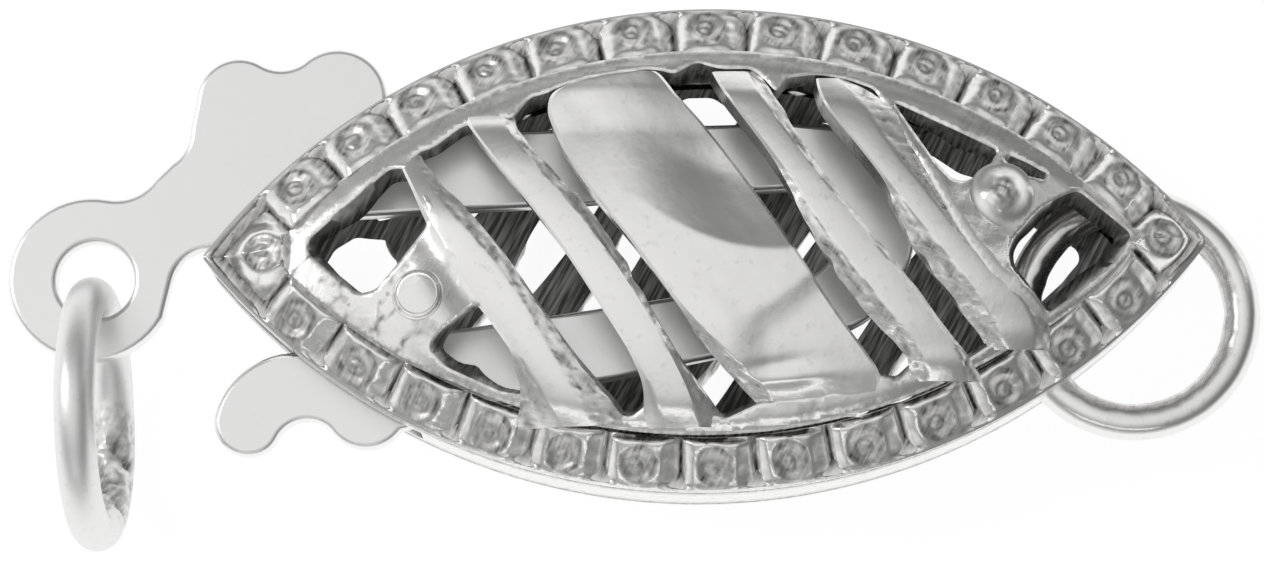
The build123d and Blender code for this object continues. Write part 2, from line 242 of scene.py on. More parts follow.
# Bars and band in plan, in millimetres: at each y, the left edge, the two sides of the polished
# top, the right edge, and the height of the top as a share of the full lift
BARS = {
    "bar_1": [
        (1.72, -5.42, -5.38, -5.10, -4.98, -0.20), (1.45, -5.32, -5.28, -5.02, -4.90, 0.05),
        (1.00, -5.10, -5.04, -4.76, -4.56, 0.62), (0.50, -4.93, -4.86, -4.43, -4.03, 1.00),
        (0.00, -4.68, -4.58, -4.00, -3.67, 1.00), (-0.50, -4.40, -4.30, -3.57, -3.33, 1.00),
        (-1.00, -4.06, -3.99, -3.25, -3.03, 1.00), (-1.50, -3.70, -3.64, -2.98, -2.70, 1.00),
        (-2.00, -3.33, -3.27, -2.72, -2.36, 1.00), (-2.50, -3.12, -2.94, -2.42, -1.98, 0.98),
        (-2.85, -3.25, -2.78, -2.20, -1.60, 0.85), (-3.20, -3.30, -2.60, -2.00, -1.40, 0.35)],
    "bar_2": [
        (2.50, -4.25, -4.15, -3.55, -3.38, -0.50), (2.25, -4.18, -4.12, -3.52, -3.32, 0.05),
        (2.00, -4.06, -4.01, -3.45, -3.27, 0.65), (1.50, -3.70, -3.65, -3.08, -2.90, 1.00),
        (1.00, -3.33, -3.28, -2.70, -2.42, 1.00), (0.50, -2.98, -2.93, -2.27, -1.97, 1.00),
        (0.00, -2.60, -2.55, -1.89, -1.66, 1.00), (-0.50, -2.28, -2.23, -1.56, -1.38, 1.00),
        (-1.00, -1.98, -1.93, -1.23, -1.09, 1.00), (-1.50, -1.66, -1.61, -0.96, -0.86, 1.00),
        (-2.00, -1.35, -1.30, -0.68, -0.56, 1.00), (-2.50, -1.10, -1.02, -0.42, -0.25, 1.00),
        (-2.90, -1.12, -0.88, -0.28, 0.06, 0.90), (-3.26, -1.20, -0.80, -0.16, 0.32, 0.35)],
    "bar_3": [
        (3.02, 0.16, 0.22, 0.78, 0.98, -0.20), (2.75, 0.26, 0.31, 0.86, 1.12, 0.50),
        (2.50, 0.41, 0.46, 1.00, 1.27, 0.90), (2.00, 0.74, 0.80, 1.30, 1.50, 1.00),
        (1.50, 1.09, 1.16, 1.66, 1.80, 1.00), (1.00, 1.41, 1.50, 2.00, 2.11, 1.00),
        (0.50, 1.63, 1.76, 2.40, 2.50, 1.00), (0.00, 1.90, 2.08, 2.76, 2.86, 1.00),
        (-0.50, 2.20, 2.47, 3.17, 3.30, 1.00), (-1.00, 2.53, 2.88, 3.58, 3.68, 1.00),
        (-1.50, 2.88, 3.27, 3.92, 4.00, 1.00), (-1.90, 3.36, 3.58, 4.24, 4.32, 0.90),
        (-2.20, 3.60, 3.80, 4.42, 4.62, 0.85), (-2.52, 3.56, 3.84, 4.50, 4.78, 0.35)],
    "bar_4": [
        (2.86, 1.98, 2.02, 2.36, 2.45, 0.10), (2.62, 2.00, 2.05, 2.62, 3.02, 0.55),
        (2.35, 2.08, 2.13, 2.76, 3.22, 0.90), (2.00, 2.33, 2.38, 2.95, 3.52, 1.00),
        (1.50, 2.73, 2.78, 3.24, 3.84, 1.00), (1.00, 3.07, 3.12, 3.62, 4.02, 1.00),
        (0.50, 3.38, 3.47, 4.02, 4.26, 1.00), (0.00, 3.50, 3.89, 4.38, 4.58, 1.00),
        (-0.50, 3.88, 4.26, 4.74, 4.95, 1.00), (-1.00, 4.30, 4.67, 5.40, 5.62, 1.00),
        (-1.40, 4.50, 4.95, 5.62, 5.90, 0.80), (-1.70, 4.86, 5.08, 5.72, 6.00, 0.70),
        (-1.98, 4.96, 5.20, 5.66, 5.92, 0.35)],
    "middle_band": [
        (3.00, -1.25, -1.20, -0.90, -0.82, 0.35), (2.92, -1.85, -1.80, -0.76, -0.70, 0.45),
        (2.78, -2.42, -2.36, -0.68, -0.62, 0.60), (2.60, -2.74, -2.68, -0.56, -0.50, 0.80),
        (2.30, -2.74, -2.68, -0.28, -0.22, 0.95), (2.00, -2.64, -2.58, -0.01, 0.05, 1.00),
        (1.50, -2.42, -2.36, 0.34, 0.40, 1.00), (1.00, -2.13, -2.07, 0.70, 0.76, 1.00),
        (0.50, -1.75, -1.69, 1.02, 1.08, 1.00), (0.00, -1.36, -1.30, 1.32, 1.38, 1.00),
        (-0.50, -1.00, -0.94, 1.63, 1.69, 1.00), (-1.00, -0.67, -0.61, 1.95, 2.01, 1.00),
        (-1.50, -0.29, -0.21, 2.27, 2.33, 1.00), (-2.00, 0.08, 0.30, 2.65, 2.71, 1.00),
        (-2.40, 0.42, 0.76, 2.96, 3.02, 0.85), (-2.80, 0.86, 1.16, 2.98, 3.08, 0.45),
        (-3.10, 1.05, 1.15, 2.50, 2.65, 0.12)],
}

# Round edges of the frame: their width, their fall, and how near a point on the edge lies
EDGE_ROUND = 0.05
EDGE_FALL = 0.6
ON_EDGE = 0.008

# The frame sinks towards the border: by how much and over what width, below and above
FRAME_SINKS = {"below": (0.06, 0.28), "above": (0.05, 0.30)}
UNDER_BORDER = 0.04
GROOVE_WIDTH = 0.07
FRAME_STAIN = 0.30
VEIN_STAIN = 0.62
WEB_REACH = 0.45

# How fine the meshes of the bars are
BAR_ROWS = 130
FLAT_COLUMNS = {"middle_band": 56}
BAR_COLUMNS = 10
FACET_COLUMNS = 7

# The slanting facets beside the polished tops: the step down to them, the widths between which
# their metal turns from smooth to cast, how ragged the outer edges are on the left and on the
# right, and in what size, and the crown of the tops
FACET_STEP = 0.02
CAST_WIDTHS = (0.06, 0.16)
FACET_RAGGED = (0.07, 0.05)
RAGGED_SIZE = 0.30
TOP_CROWN = 0.012

# Height of the streaks, grains and pits of the cast facets, and of the tops' slight unevenness
STREAK, GRAIN, PIT = 0.010, 0.006, 0.012
TOP_UNEVEN = 0.004

# How steeply the facets fall, left and right
FACET_SLOPES = {"bar_1": (0.38, 0.17), "bar_2": (0.38, 0.42), "bar_3": (0.38, 0.38),
                "bar_4": (0.46, 0.30), "middle_band": (0.38, 0.38)}

# Crests of the hammered band: a place on the crest, its slope and bend in plan, the side on which
# the metal falls away, where along x the fall starts and is full, its depth and its reach
BAND_CRESTS = [
    {"place": (-0.264, 0.095), "slope": -0.487, "bend": 0.166, "side": 1, "grows": (-1.8, 0.6),
     "depth": 0.36, "reach": 1.35},
    {"place": (1.05, -1.20), "slope": 0.55, "bend": 0.25, "side": -1, "grows": (0.3, 1.1),
     "depth": 0.09, "reach": 0.55},
]
BAND_END = 1.85
BAND_END_SLOPE = 0.32
BAND_SINK = 0.02

# Dents and swellings of the band: place, half widths, turn in degrees and height
BAND_WAVES = [
    (-0.95, 2.36, 0.42, 0.26, 10, 0.015),
    (0.03, 1.30, 0.50, 0.36, 0, -0.045),
    (-2.10, 2.30, 0.30, 0.25, -40, -0.03),
    (0.35, -1.55, 0.70, 0.30, -50, 0.030),
    (1.40, -2.46, 0.75, 0.14, 6, 0.050),
    (1.15, -2.22, 0.55, 0.10, 10, -0.030),
]

# Bosses of the webs: place, radius, height, how much of the radius is flat, and the roughness
BOSSES = {
    "boss_left": (-5.03, -0.86, 0.45, 0.13, 0.76, 0.0),
    "boss_right": (5.18, 0.74, 0.58, 0.24, 0.12, 1.0),
}
BOSS_RINGS = 26
BOSS_SIDES = 72
BOSS_FOOT = 0.16
BOSS_ROUGH = 0.035
BOSS_SINK = 0.015


def in_mm(value):
    """Metres in millimetres, in which the meshes are built."""
    return value / MM


def clamped(value, low=0.0, high=1.0):
    """The value, kept between the two limits."""
    return min(high, max(low, value))


def smooth_step(low, high, value):
    """Runs smoothly from 0 at low to 1 at high; low may be the larger."""
    t = clamped((value - low) / (high - low))
    return t * t * (3 - 2 * t)


def soft_noise(x, y, z, size, seed=0.0):
    """Smooth noise from -1 to 1, with bumps about size across."""
    return noise.noise(Vector((x / size + seed, y / size, z / size)))


def cast_height(x, y, layers, z=0.0):
    """Unevenness of cast metal: layers of noise, each a height, a size and a seed."""
    return sum(height * soft_noise(x, y, z, size, seed) for height, size, seed in layers)


class CaseShape:
    """Outline and domes of the case, in millimetres about its middle."""

    def __init__(self, sizes):
        self.half_length = in_mm(sizes.length) / 2
        self.half_width = in_mm(sizes.width) / 2
        self.rim = in_mm(sizes.rim)
        self.wall = in_mm(sizes.wall)
        self.sheet = in_mm(sizes.sheet)
        self.border = in_mm(sizes.border)
        self.rise = math.tan(sizes.slope)
        self.crown = in_mm(sizes.crown)
        self.lift = in_mm(sizes.bar_lift)
        self.cross_curve = in_mm(sizes.cross_curve)
        self.long_curve = in_mm(sizes.long_curve)
        self.cell_step = sizes.cell_step
        self.side_angle = sizes.cells * sizes.cell_step / 2
        self.radius = (self.half_length**2 + self.half_width**2) / (2 * self.half_width)
        self.offset = self.radius - self.half_width
        low, high = CASE_LOW, CASE_HIGH
        self.middle = Vector((low.x + sizes.length / 2, (low.y + high.y) / 2, (low.z + high.z) / 2))

    def arc_point(self, angle, side, inset):
        """Point of the outline drawn in by inset; angle runs from the middle to the right."""
        reach = self.radius - inset
        return Vector((reach * math.sin(angle), side * (reach * math.cos(angle) - self.offset)))

    def corner_angle(self, inset):
        """Angle at which the two arcs meet."""
        return math.acos(self.offset / (self.radius - inset))

    def edge_distance(self, x, y):
        """Distance inwards from the outline."""
        return self.radius - math.hypot(x, abs(y) + self.offset)

    def dome(self, x, y):
        """Height of the domed frame over the middle plane."""
        cross = self.cross_curve - self.long_curve + math.sqrt(self.long_curve**2 - x * x)
        return self.crown - self.cross_curve + math.sqrt(cross * cross - y * y)

    def dome_normal(self, x, y):
        """Direction straight out of the dome."""
        step = 0.01
        slope_x = (self.dome(x + step, y) - self.dome(x - step, y)) / (2 * step)
        slope_y = (self.dome(x, y + step) - self.dome(x, y - step)) / (2 * step)
        return Vector((-slope_x, -slope_y, 1)).normalized()

    def outer_point(self, angle, side):
        """Point of the outer outline with rounded tips; angle is that of the outward normal."""
        hand = 1 if angle > 0 else -1
        turn = TIP_ROUND[hand]
        centre = math.sqrt((self.radius - turn) ** 2 - self.offset**2)
        tangent = math.atan2(centre, self.offset)
        if abs(angle) <= tangent:
            return self.arc_point(angle, side, 0)
        return Vector((hand * (centre + turn * math.sin(abs(angle))), side * turn * math.cos(angle)))

    def inner_point(self, angle, side, over=0.0):
        """Point of the border's inner edge, which is cut straight at the tips."""
        place = self.arc_point(angle, side, self.border - over)
        place.x = clamped(place.x, INNER_TIPS[0] - over, INNER_TIPS[1] + over)
        return place

    def stations(self):
        """Pairs of outer and inner points round the border, from the left tip over the top."""
        groove = CELL_MIDDLE + self.side_angle
        columns = round(2 * self.side_angle / self.cell_step) * CELL_COLUMNS
        start = CELL_MIDDLE - self.side_angle
        side_angles = [start + 2 * self.side_angle * k / columns for k in range(columns + 1)]
        pairs = []
        for side in (1, -1):
            run = [(self.outer_point(a, side), self.arc_point(a, side, self.border))
                   for a in side_angles]
            for hand, limit in ((-1, start), (1, groove)):
                corner = hand * self.corner_angle(0)
                inner_corner = hand * self.corner_angle(self.border)
                tip = []
                steps = TIP_ARC_COLUMNS + TIP_TURN_COLUMNS
                for k in range(1, steps + 1):
                    if k <= TIP_ARC_COLUMNS:
                        outer = limit + (corner * TIP_REACH - limit) * k / TIP_ARC_COLUMNS
                    else:
                        share = (k - TIP_ARC_COLUMNS) / TIP_TURN_COLUMNS
                        outer = corner + (hand * math.pi / 2 - corner) * share
                    inner = limit + (inner_corner - limit) * k / steps
                    tip.append((self.outer_point(outer, side), self.inner_point(inner, side)))
                run = run + tip if hand > 0 else tip[::-1] + run
            pairs.append(run)
        return pairs[0] + pairs[1][::-1][1:-1]

    def cell_relief(self, x, y):
        """Height of the border's relief over its slope, and how much painted shade it takes in its
        recesses.
        """
        reach = math.hypot(x, abs(y) + self.offset)
        angle = math.atan2(x, abs(y) + self.offset)
        away = angle - CELL_MIDDLE
        inset = self.radius - reach
        if abs(away) > self.side_angle:
            to_groove = reach * math.sin(abs(away) - self.side_angle)
            across, along = x - (TIP_CELLS[0] if x < 0 else TIP_CELLS[1]), y
            flank = clamped((math.hypot(across, along) - RIM_OUT) / TIP_FLANK)
            if inset < TIP_LIP:
                flank = 0.0
            channel = 1 - smooth_step(*CHANNEL_SIDE, abs(inset - TIP_LIP))
            side = 0.0
        else:
            last = round(self.side_angle / self.cell_step - 0.5)
            number = clamped(round(away / self.cell_step), -last, last)
            off = away - number * self.cell_step
            seed = number * 1.7 + (40 if y > 0 else 0)
            to_groove = (self.cell_step / 2 - abs(off)) * reach
            size, shift, slip, skew = (soft_noise(seed, y0, 0, 1.0) for y0 in (1.3, 5.1, 9.4, 3.3))
            across = (off * reach - DISH_SHIFT + CELL_MOVES[0] * shift) / (1 + CELL_GROWS * size)
            along = CELL_INSET - inset + CELL_MOVES[1] * slip + CELL_SKEW * across * skew
            side = max(0.0, abs(across) - RIM_OUT)
            side /= side + max(to_groove, 1e-4)
            inner = clamped((-along - RIM_OUT) / (self.border - CELL_INSET - RIM_OUT))
            if y > 0:
                inner *= 0.35
            flank = min(1.0, (side**3 + inner**3) ** (1 / 3))
            channel = 0.0
        wobble = cast_height(x, y, CELL_CAST)
        square = math.hypot(across, along) + wobble
        cut = 1 - smooth_step(0.0, GROOVE_HALF, to_groove)
        height = -FLANK_DROP * flank**1.15 - GROOVE_DEPTH * cut - CHANNEL_DEPTH * channel
        height += RIM_RISE * smooth_step(RIM_OUT + 0.12, RIM_OUT - 0.02, square)
        in_dish = smooth_step(RIM_IN + 0.03, RIM_IN - 0.20, square)
        height -= in_dish * (DISH_DEPTH + wobble)
        round_out = math.hypot(across + BEAD_SHIFT, along - BEAD_SHIFT) + wobble
        if round_out < BEAD_RADIUS:
            height += BEAD_HEIGHT * (1 - (round_out / BEAD_RADIUS) ** 2)
        # Painted shade: dark rings in the creases round the dishes and the beads, dark dishes, valleys,
        # grooves and channels
        uneven = 0.60 + 0.55 * soft_noise(x, y, 0, 0.16, 95)
        rim_line = uneven * smooth_step(0.09, 0.03, abs(square - RIM_IN + 0.02))
        bead_line = smooth_step(0.05, 0.01, abs(round_out - BEAD_RADIUS - 0.01))
        dish = DISH_SHADES[0 if y > 0 else 1] * smooth_step(RIM_IN, RIM_IN - 0.06, square)
        valley = VALLEY_SHADE * smooth_step(0.45, 1.0, flank)
        # Painted shade: on the upper side the right flanks of the cells, facing away from the light, are
        # darkened unevenly
        if y > 0 and across > 0:
            valley = smooth_step(0.12, 0.50, side) * (0.50 + 0.35 * soft_noise(x, y, 0, 0.13, 77))
        recess = max(dish, rim_line, valley, SHADES["bead"] * bead_line, SHADES["groove"] * cut,
                     SHADES["channel"] * channel)
        lip = smooth_step(EDGE_LIP + 0.03, EDGE_LIP - 0.02, inset)
        # Painted shade: a thin dark line along the inner side of the outer lip
        line = smooth_step(0.035, 0.010, abs(inset - EDGE_LIP - 0.025))
        return height * (1 - lip), max(recess * (1 - lip), SHADES["lip"] * line)


# How dark the inside of each shell is painted, as painted shade: the back shell's inside is seen in shade
# through the slots
INSIDE_SHADE = {"front": 0.0, "back": 1.0}


def new_mesh():
    """Empty mesh, with the layer that says how far each point is darkened: painted shade and stains."""
    bm = bmesh.new()
    return bm, bm.verts.layers.float.new("painted_shade_and_stain")


def face_outwards(bm):
    """Turns all faces of a closed mesh outwards."""
    bmesh.ops.recalc_face_normals(bm, faces=bm.faces[:])


def join_doubles(bm, distance=1e-5):
    """Joins points that lie on each other."""
    bmesh.ops.remove_doubles(bm, verts=bm.verts[:], dist=distance)


def grid_points(bm, columns, rows):
    """Adds a grid and gives the row, the column and the point for each of its points."""
    bmesh.ops.create_grid(bm, x_segments=columns, y_segments=rows, size=1.0)
    return [(*divmod(index, columns + 1), vert) for index, vert in enumerate(bm.verts)]


def spin_round(bm, steps):
    """Spins a section round the Z axis into a closed body."""
    bmesh.ops.spin(bm, geom=bm.verts[:] + bm.edges[:], cent=(0, 0, 0), axis=(0, 0, 1),
                   angle=2 * math.pi, steps=steps, use_merge=True, use_duplicate=False)
    join_doubles(bm)


def border_mesh(shape, face):
    """Closed ring of the border: its relief above, a plain underside below."""
    stations = shape.stations()
    count = len(stations)
    rows = BORDER_ROWS + 1 + len(BORDER_UNDER)
    bm, painted_shade_and_stain = new_mesh()
    for row, column, vert in grid_points(bm, count, rows):
        outer, inner = stations[column % count]
        row = row % rows
        above = row <= BORDER_ROWS
        if above:
            share = max(0, row - 1) / (BORDER_ROWS - 1) if row != 1 else EDGE_SHARE
        else:
            share, drop = BORDER_UNDER[row - BORDER_ROWS - 1]
        place = outer.lerp(inner, share)
        inset = clamped(shape.edge_distance(place.x, place.y), 0.0, shape.border)
        height = shape.rim + inset * shape.rise
        if above:
            wander = Vector((soft_noise(place.x, place.y, 0, 0.8, 3),
                             soft_noise(place.x, place.y, 0, 0.8, 9)))
            moved = place + wander * CELL_WANDER * smooth_step(0.05, 0.15, inset)
            relief, recess = shape.cell_relief(moved.x, moved.y)
            relief += cast_height(place.x, place.y, BORDER_CAST) * smooth_step(0.05, 0.15, inset)
            edge = smooth_step(0.0, EDGE_SHARE, share)
            vert.co = (place.x, place.y, height + relief * edge)
            vert[painted_shade_and_stain] = recess
        else:
            vert.co = (place.x, place.y, height + drop)
            # Painted shade on the border's underside, the inside of the shell
            vert[painted_shade_and_stain] = INSIDE_SHADE[face]
    join_doubles(bm)
    face_outwards(bm)
    return bm


def polygon_edges(bm, corners, rounding):
    """Closed loop of edges through corners, each corner rounded."""
    verts = [bm.verts.new((x, y, 0)) for x, y in corners]
    bm.faces.new(verts)
    if rounding:
        bmesh.ops.bevel(bm, geom=verts, offset=rounding, segments=4, profile=0.5, affect="VERTICES",
                        material=-1)


def groove_share(x):
    """The dark groove below the frame, which dies out towards the tips."""
    return smooth_step(5.4, 4.4, -x) if x < 0 else smooth_step(6.2, 5.0, x)


def frame_outline(shape, steps=90):
    """Outer edge of the pierced frame: under the border, but for the groove along its lower side."""
    points = []
    reach = shape.radius - shape.border
    corner = shape.corner_angle(shape.border)
    for side in (1, -1):
        run = []
        for k in range(steps + 1):
            angle = corner * (2 * k / steps - 1)
            over = UNDER_BORDER
            if side < 0:
                over -= GROOVE_WIDTH * groove_share(reach * math.sin(angle))
            run.append(tuple(shape.inner_point(angle, side, over)))
        points += run if side > 0 else run[-2:0:-1]
    return points


def bar_edge(name, y, column):
    """Where a bar's edge lies at height y of the plan."""
    rows = BARS[name]
    if y >= rows[0][0]:
        return rows[0][column]
    for upper, lower in zip(rows, rows[1:]):
        if y >= lower[0]:
            t = (upper[0] - y) / (upper[0] - lower[0])
            return upper[column] + t * (lower[column] - upper[column])
    return rows[-1][column]


def web_lift(shape, x, y):
    """How far a web swells up to meet the bar beside it."""
    if x < 0:
        gap = bar_edge("bar_1", y, 1) - x
        reach = smooth_step(1.6, 0.6, y) * smooth_step(-2.9, -1.9, y)
    else:
        gap = x - bar_edge("bar_4", y, 4)
        reach = smooth_step(2.3, 1.0, y) * smooth_step(-1.9, -0.9, y)
    return shape.lift * reach * math.exp(-(max(0.0, gap) / WEB_REACH) ** 2)


def edge_tree(bm, step=0.012):
    """Points close together along the open edges, to find how far a place is from them."""
    places = []
    for edge in bm.edges:
        if edge.is_boundary:
            a, b = (v.co for v in edge.verts)
            count = max(1, math.ceil((b - a).length / step))
            places += [a.lerp(b, k / count) for k in range(count)]
    tree = KDTree(len(places))
    for index, place in enumerate(places):
        tree.insert(place, index)
    tree.balance()
    return tree


def window_corners(row, face):
    """Corners of a window; on the back face a run of them may be its own."""
    corners = row["corners"]
    if face == "back" and "back run" in row:
        first, end, run = row["back run"]
        corners = corners[:first] + run + corners[end:]
    return corners


def window_flank(face, x, y):
    """How far the wall of a window runs inwards from its upper edge, at one place on that edge."""
    for row in WINDOWS:
        if "flank" not in row:
            continue
        corners = window_corners(row, face)
        low_x, high_x = min(c[0] for c in corners), max(c[0] for c in corners)
        low_y, high_y = min(c[1] for c in corners), max(c[1] for c in corners)
        if low_x - 0.02 < x < high_x + 0.02 and low_y - 0.02 < y < high_y + 0.02:
            middle = Vector((sum(c[0] for c in corners), sum(c[1] for c in corners))) / len(corners)
            inwards = (middle - Vector((x, y))).normalized()
            share = 1.0
            if row["facing"]:
                share = clamped(0.15 + 0.85 * inwards.dot(Vector(row["facing"])), 0.1)
            return inwards * row["flank"] * share
    return Vector((0, 0))


def frame_mesh(shape, face="front", spacing=0.09):
    """Pierced frame with its webs: a flat sheet with windows, cut into a net and domed."""
    bm, painted_shade_and_stain = new_mesh()
    for row in WINDOWS:
        polygon_edges(bm, window_corners(row, face), row["round"])
    outline = frame_outline(shape)
    polygon_edges(bm, outline, 0)
    join_doubles(bm, 1e-4)
    bmesh.ops.delete(bm, geom=bm.faces[:], context="FACES_ONLY")
    bmesh.ops.triangle_fill(bm, use_beauty=True, edges=bm.edges[:], normal=(0, 0, 1))
    edge_points = edge_tree(bm)
    bmesh.ops.inset_region(bm, faces=bm.faces[:], thickness=EDGE_ROUND, use_even_offset=True,
                           use_boundary=True)
    for axis, half in ((0, shape.half_length), (1, shape.half_width)):
        steps = int(half / spacing)
        for k in range(-steps, steps + 1):
            point, normal = Vector(), Vector()
            point[axis] = k * spacing + 0.013
            normal[axis] = 1
            bmesh.ops.bisect_plane(bm, geom=bm.verts[:] + bm.edges[:] + bm.faces[:], dist=1e-4,
                                   plane_co=point, plane_no=normal)
    face_outwards(bm)
    for side in bm.faces:
        if side.normal.z < 0:
            side.normal_flip()
    top = bm.faces[:]
    grown = bmesh.ops.extrude_face_region(bm, geom=top, use_keep_orig=True)
    lower = {v for v in grown["geom"] if isinstance(v, bmesh.types.BMVert)}
    for vert in bm.verts:
        x, y = vert.co.x, vert.co.y
        to_border = shape.edge_distance(x, y) - shape.border
        from_edge = edge_points.find(Vector((x, y, 0)))[2]
        if vert in lower:
            vert.co = Vector((x, y, shape.dome(x, y))) - shape.dome_normal(x, y) * shape.sheet
            # Painted shade: the walls of the windows are dark, and the rest of the underside takes the
            # shade of the shell's inside
            vert[painted_shade_and_stain] = 1.0 if from_edge < ON_EDGE else INSIDE_SHADE[face]
            if from_edge < ON_EDGE and to_border > 0.02:
                vert.co += window_flank(face, x, y).to_3d()
            continue
        drop = EDGE_FALL * max(0.0, EDGE_ROUND - from_edge)
        sink, width = FRAME_SINKS["below" if y < 0 else "above"]
        drop += sink * (groove_share(x) if y < 0 else 1) * (1 - smooth_step(0.0, width, to_border))
        height = shape.dome(x, y) + web_lift(shape, x, y) + cast_height(x, y, FRAME_CAST)
        vert.co.z = height - drop
        near = 1 - smooth_step(-0.02, 0.13, to_border)
        stain = FRAME_STAIN * smooth_step(0.05, 0.45, soft_noise(x, y, 0, 0.55, 60))
        if x < BARS["bar_1"][0][4]:
            vein = smooth_step(0.11, 0.02, abs(soft_noise(x, y, 0, 0.52, 66)))
            stain = max(stain, VEIN_STAIN * vein * smooth_step(0.35, 0.0, y))
        # Painted shade: darker where the frame meets the border, most in the groove along its lower side,
        # and a dark line along the edges of the windows
        shade = 0.25 + 0.55 * groove_share(x) * (y < 0)
        vert[painted_shade_and_stain] = max(shade * near, 0.4 * (from_edge < ON_EDGE), stain)
    face_outwards(bm)
    return bm


def smooth_row(rows, place):
    """Row of a bar's table at place, from 0 to 1 along it, by a smooth curve through the rows."""
    spot = place * (len(rows) - 1)
    k = min(int(spot), len(rows) - 2)
    t = spot - k
    before, here = rows[max(k - 1, 0)], rows[k]
    after, beyond = rows[k + 1], rows[min(k + 2, len(rows) - 1)]
    curve = []
    for p0, p1, p2, p3 in zip(before, here, after, beyond):
        curve.append(0.5 * (2 * p1 + (p2 - p0) * t + (2 * p0 - 5 * p1 + 4 * p2 - p3) * t * t
                            + (3 * p1 - p0 - 3 * p2 + p3) * t**3))
    return curve


def boss_mesh(shape, name):
    """Round boss, spun from its profile and sunk into the web."""
    x0, y0, radius, height, flat, rough = BOSSES[name]
    bm, painted_shade_and_stain = new_mesh()
    profile = [bm.verts.new((0, 0, -BOSS_FOOT)), bm.verts.new((radius, 0, -BOSS_FOOT))]
    for k in range(BOSS_RINGS, -1, -1):
        out = k / BOSS_RINGS
        profile.append(bm.verts.new((radius * out, 0, height * smooth_step(1.0, flat, out))))
    for a, b in zip(profile, profile[1:]):
        bm.edges.new((a, b))
    spin_round(bm, BOSS_SIDES)
    for vert in bm.verts:
        x, y, z = vert.co
        top = smooth_step(0.62, 0.25, math.hypot(x, y - 0.06) / radius) * rough
        if z > 0:
            z += top * (BOSS_ROUGH * soft_noise(x, y, 0, 0.16, 200) - BOSS_SINK)
        vert[painted_shade_and_stain] = top * max(0.0, 0.45 + 0.6 * soft_noise(x, y, 0, 0.14, 210))
        x, y = x + x0, y + y0
        vert.co = (x, y, shape.dome(x, y) + web_lift(shape, x, y) + z)
    face_outwards(bm)
    return bm


def band_wave(x, y):
    """Height of the band's hammered surface over its even curve."""
    height = BAND_END_SLOPE * max(0.0, y - BAND_END) ** 2 / (abs(y - BAND_END) + 0.3) - BAND_SINK
    for crest in BAND_CRESTS:
        x0, y0 = crest["place"]
        line = y0 + crest["slope"] * (x - x0) + crest["bend"] * (x - x0) ** 2
        away = crest["side"] * (y - line)
        fall = 1 - (1 - clamped(away / crest["reach"])) ** 1.6
        height -= crest["depth"] * smooth_step(*crest["grows"], x) * fall
    for cx, cy, long, short, turn, depth in BAND_WAVES:
        a = math.radians(turn)
        u = ((x - cx) * math.cos(a) + (y - cy) * math.sin(a)) / long
        v = (-(x - cx) * math.sin(a) + (y - cy) * math.cos(a)) / short
        height += depth * math.exp(-(u * u + v * v))
    return height


def wide_facets(name):
    """Whether a bar has a rough cast facet on its left and on its right."""
    middle = BARS[name][3:-3]
    return (max(row[2] - row[1] for row in middle) > 0.1, max(row[4] - row[3] for row in middle) > 0.1)


def faired(rows):
    """Evens out a bar's edges, apart from its ends."""
    smooth = [rows[0]]
    for before, here, after in zip(rows, rows[1:], rows[2:]):
        t = (here[0] - before[0]) / (after[0] - before[0])
        between = [a + t * (b - a) for a, b in zip(before, after)]
        smooth.append((here[0], *[0.5 * (a + b) for a, b in zip(here[1:5], between[1:5])], here[5]))
    return smooth + [rows[-1]]


def bar_section(shape, name, row):
    """Closed section of a bar at one place: (x, z, recess, roughness, lowered) from the left round."""
    y, left, flat_left, flat_right, right, share = row
    flats = FLAT_COLUMNS.get(name, BAR_COLUMNS)
    left_slope, right_slope = FACET_SLOPES[name]
    left_wide, right_wide = wide_facets(name)

    def top(x):
        return shape.dome(x, y) + shape.lift * share

    def facet(edge, flat, slope, wide, shift, ragged, seed):
        """A bar's edge and the slanting facet beside it, up to but without the flat top."""
        width = abs(flat - edge)
        drop = FACET_STEP + slope * width
        cast = smooth_step(*CAST_WIDTHS, width) if wide else 0.0
        start = edge + cast * (shift + ragged * soft_noise(0, y, 0, RAGGED_SIZE, seed))
        steps = FACET_COLUMNS if wide else 2
        points = [(edge, top(edge) - drop, 1.0, 0.0, 1)]
        for k in range(steps):
            x = start + k / steps * (flat - start)
            points.append((x, top(x) - drop * (1 - k / steps), 0.0, cast, 0))
        return points

    section = facet(left, flat_left, left_slope, left_wide, -FACET_RAGGED[0], -FACET_RAGGED[0], 400)
    for k in range(flats + 1):
        t = k / flats
        x = flat_left + t * (flat_right - flat_left)
        section.append((x, top(x) + TOP_CROWN * (1 - (2 * t - 1) ** 2), 0.0, 0.0, 0))
    section += reversed(facet(right, flat_right, right_slope, right_wide, 0.0, FACET_RAGGED[1], 420))
    return section


